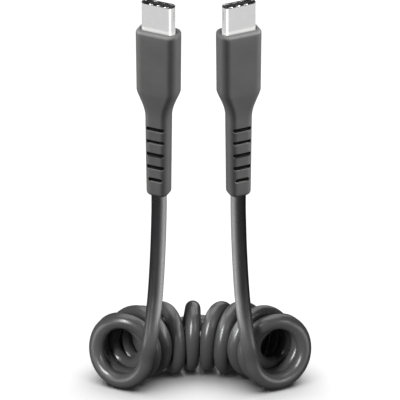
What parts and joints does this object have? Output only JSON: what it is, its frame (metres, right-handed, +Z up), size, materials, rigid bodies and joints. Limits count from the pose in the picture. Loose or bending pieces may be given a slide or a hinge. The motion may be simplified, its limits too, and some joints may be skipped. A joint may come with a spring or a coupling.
{
  "type": "coiled usb c cable",
  "caption": "Short coiled USB-C to USB-C charging cable: upright plugs with moulded grips and slotted strain reliefs on leads from a curly cord lying in an arc.",
  "frame": {"origin": "the point of the floor under the middle of the coil, on the coil's rest face", "axes": "+Z up along the plugs, +X from the left plug to the right one, +Y away from the plugs towards the back of the coil"},
  "size_m": [0.0544, 0.044, 0.1015],
  "materials": {
    "cord": "semi-gloss dark grey elastomer jacket",
    "grip": "satin dark grey moulded elastomer",
    "shell": "satin nickel plate",
    "carrier": "black moulded",
    "spring": "bright plated spring strip"
  },
  "bodies": {
    "root": {"coil": "cord", "reversal_loop": "cord", "lead_left": "cord", "grip_left": "grip", "shell_left": "shell", "contact_carrier_left": "carrier", "ground_spring_front_left": "spring", "ground_spring_back_left": "spring", "lead_right": "cord", "grip_right": "grip", "shell_right": "shell", "contact_carrier_right": "carrier", "ground_spring_front_right": "spring", "ground_spring_back_right": "spring"}
  },
  "joints": []
}
